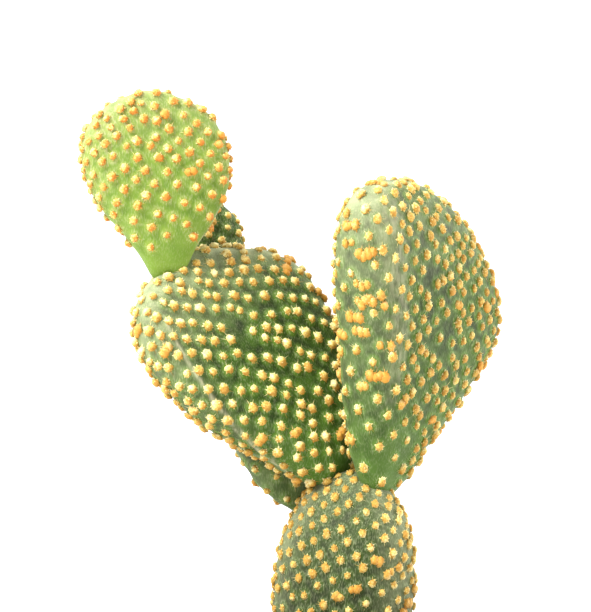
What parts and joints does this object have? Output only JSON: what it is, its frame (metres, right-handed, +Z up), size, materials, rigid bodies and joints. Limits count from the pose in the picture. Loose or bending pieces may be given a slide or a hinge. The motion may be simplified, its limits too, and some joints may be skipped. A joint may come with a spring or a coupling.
{
  "type": "potted prickly pear cactus",
  "caption": "Small bunny-ears type prickly pear with bristle-tufted flat pads growing one from another, planted in a plain terracotta pot of soil.",
  "frame": {"origin": "middle of the pot's flat underside", "axes": "+Z up the pot's axis, -Y towards the side that the picture shows, +X to its right"},
  "size_m": [0.1232, 0.11, 0.2328],
  "materials": {
    "pad_skin": "satin, waxy green plant skin with a fine pale bloom",
    "young_skin": "satin, waxy lime green plant skin",
    "glochids": "golden orange brushes of fine bristles",
    "terracotta": "unglazed, matt fired clay",
    "soil": "rough dark potting soil",
    "grit": "matt pale mineral grit"
  },
  "bodies": {
    "root": {"pot": "terracotta", "soil": "soil", "pad_base": "pad_skin", "pad_left": "pad_skin", "pad_right": "pad_skin", "pad_rear": "pad_skin", "pad_rear_small": "pad_skin", "pad_young": "young_skin"}
  },
  "joints": []
}
